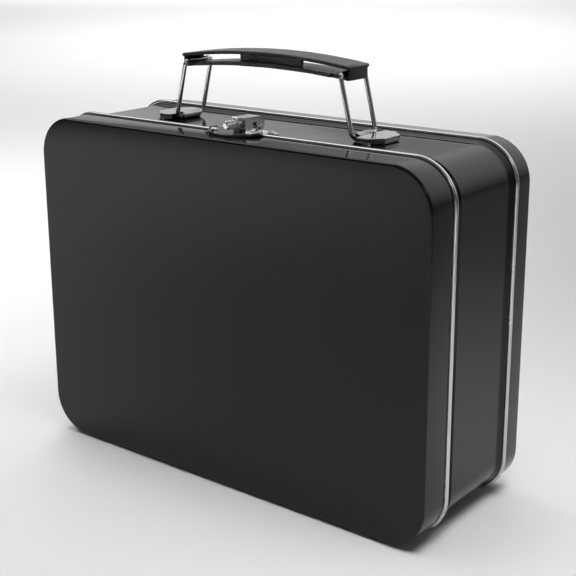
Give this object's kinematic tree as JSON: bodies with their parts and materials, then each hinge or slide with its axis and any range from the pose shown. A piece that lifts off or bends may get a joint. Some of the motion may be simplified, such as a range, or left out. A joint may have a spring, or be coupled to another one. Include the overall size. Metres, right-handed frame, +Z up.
{
  "type": "metal lunch box",
  "caption": "Flat black tinplate lunch box with rounded corners, a front lid hinged at its bottom edge, a snap hasp on top and a plastic grip on folding wire loops.",
  "frame": {"origin": "under the middle of the closed case, at the height of the lowest rolled edges it stands on", "axes": "+X along the width, to the right when facing the lid; +Y from the lid to the back; +Z up towards the handle"},
  "size_m": [0.207, 0.075, 0.1824],
  "materials": {
    "black_paint": "glossy black enamel on tinplate",
    "tinplate": "bare bright tinplate",
    "bright_steel": "bright nickel plate",
    "spring_steel": "plain spring steel",
    "grip_plastic": "satin black moulded plastic"
  },
  "bodies": {
    "case": {"body_band": "black_paint", "back_pan": "black_paint", "bracket_left": "bright_steel", "bracket_right": "bright_steel", "hinge_strap_left": "tinplate", "hinge_strap_right": "tinplate", "hinge_rivets": "tinplate", "latch_base": "bright_steel", "latch_base_rivets": "bright_steel", "latch_pin": "bright_steel"},
    "lid": {"lid_pan": "black_paint", "hinge_wire": "tinplate", "latch_plate": "bright_steel", "latch_plate_rivets": "bright_steel"},
    "hasp": {"latch_hasp": "bright_steel", "latch_knob": "bright_steel", "latch_spring": "spring_steel"},
    "loop_left": {"handle_loop_left": "bright_steel"},
    "loop_right": {"handle_loop_right": "bright_steel"},
    "grip": {"grip_upper": "grip_plastic", "grip_lower": "grip_plastic", "grip_screw": "spring_steel"}
  },
  "joints": [
    {"name": "lid_hinge", "type": "hinge", "parent": "case", "child": "lid", "pos_m": [0, -0.0211, 0.00095], "axis": [1, 0, 0], "range_deg": [0, 110], "deforming": ["latch_spring"]},
    {"name": "hasp_hinge", "type": "hinge", "parent": "case", "child": "hasp", "pos_m": [0, -0.0105, 0.15245], "axis": [-1, 0, 0], "range_deg": [0, 70], "deforming": ["latch_spring"]},
    {"name": "handle_fold", "type": "hinge", "parent": "case", "child": "loop_left", "pos_m": [-0.048, 0.0025, 0.15165], "axis": [0, 1, 0], "range_deg": [-25, 25]},
    {"name": "right_loop_fold", "type": "hinge", "parent": "case", "child": "loop_right", "pos_m": [0.046, 0.0025, 0.15165], "axis": [0, 1, 0], "range_deg": [-25, 25]},
    {"name": "grip_tilt", "type": "hinge", "parent": "loop_left", "child": "grip", "pos_m": [-0.042, 0.0025, 0.17645], "axis": [0, 1, 0], "range_deg": [-29, 29]}
  ],
  "couplings": [
    {"joint": "right_loop_fold", "follows": "handle_fold", "ratio": 1},
    {"joint": "grip_tilt", "follows": "handle_fold", "ratio": -1.14}
  ]
}
